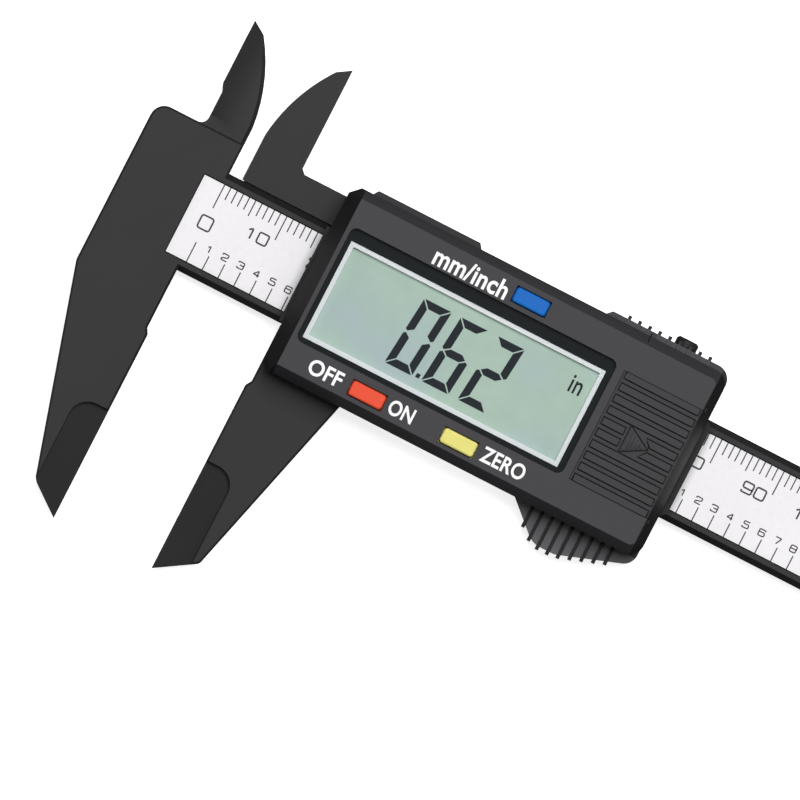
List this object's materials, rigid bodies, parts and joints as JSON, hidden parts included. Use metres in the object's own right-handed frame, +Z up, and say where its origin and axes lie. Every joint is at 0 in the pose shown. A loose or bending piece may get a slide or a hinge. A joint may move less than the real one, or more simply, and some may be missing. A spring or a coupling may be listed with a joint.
{
  "type": "digital caliper",
  "caption": "Sliding digital caliper with outside and inside jaws, a depth rod, a printed scale and a display housing with push buttons.",
  "frame": {"origin": "under the middle of the whole tool at its rest opening, on the surface it lies on", "axes": "+X along the beam towards the depth rod, +Y towards the inside jaws, +Z up out of the display"},
  "size_m": [0.253, 0.0766, 0.0152],
  "materials": {
    "black_composite": "fine moulded texture",
    "housing_plastic": "satin moulded",
    "clear_window": "polished",
    "white_plastic": "smooth",
    "lcd": "smooth grey-green",
    "rubber": "matt",
    "circuit_board": "solder resist",
    "epoxy": "glossy drop",
    "ceramic": "matt",
    "switch_plastic": "matt",
    "steel": "zinc plated",
    "nickel": "nickel plated",
    "spring_metal": "plated spring strip",
    "blue_plastic": "smooth",
    "red_plastic": "smooth",
    "yellow_plastic": "smooth",
    "brass": "turned",
    "printed_label": "silver-white film with black print"
  },
  "bodies": {
    "beam": {"beam_and_fixed_jaw": "black_composite", "stator_board": "circuit_board", "scale_label": "printed_label", "rod_guide_plate": "black_composite", "guide_plate_screws": "steel"},
    "slider": {"slider_frame": "black_composite", "back_cover": "housing_plastic", "front_cover": "housing_plastic", "display_window": "clear_window", "lcd_frame": "white_plastic", "lcd_glass": "lcd", "zebra_strips": "rubber", "main_board": "circuit_board", "controller_chip": "epoxy", "board_capacitors": "ceramic", "push_switches": "switch_plastic", "board_screws": "steel", "battery": "nickel", "battery_contact_positive": "spring_metal", "battery_contact_negative": "spring_metal", "case_screws": "steel", "depth_rod": "black_composite", "depth_rod_screw": "steel"},
    "mode_button": {"mode_button": "blue_plastic"},
    "power_button": {"power_button": "red_plastic"},
    "zero_button": {"zero_button": "yellow_plastic"},
    "battery_cover": {"battery_cover": "housing_plastic"},
    "lock_pad": {"lock_pad": "brass"},
    "lock_screw": {"lock_screw": "black_composite"}
  },
  "joints": [
    {"name": "slider_travel", "type": "slide", "parent": "beam", "child": "slider", "axis": [1, 0, 0], "range_m": [-0.01573, 0.13425]},
    {"name": "mode_press", "type": "slide", "parent": "slider", "child": "mode_button", "axis": [0, 0, -1], "range_m": [0, 0.0004], "stiffness_N_per_m": 1200},
    {"name": "power_press", "type": "slide", "parent": "slider", "child": "power_button", "axis": [0, 0, -1], "range_m": [0, 0.0004], "stiffness_N_per_m": 1200},
    {"name": "zero_press", "type": "slide", "parent": "slider", "child": "zero_button", "axis": [0, 0, -1], "range_m": [0, 0.0004], "stiffness_N_per_m": 1200},
    {"name": "battery_cover_slide", "type": "slide", "parent": "slider", "child": "battery_cover", "axis": [1, 0, 0], "range_m": [0, 0.0145]},
    {"name": "lock_advance", "type": "slide", "parent": "slider", "child": "lock_pad", "axis": [0, 1, 0], "range_m": [-0.000097, 0.0002499]},
    {"name": "lock_turn", "type": "hinge", "parent": "lock_pad", "child": "lock_screw", "pos_m": [-0.04317, 0.0249, 0.0042], "axis": [0, 1, 0], "range_deg": [-70, 180]}
  ],
  "couplings": [
    {"joint": "lock_turn", "follows": "lock_advance", "rad_per_m": 12566}
  ]
}
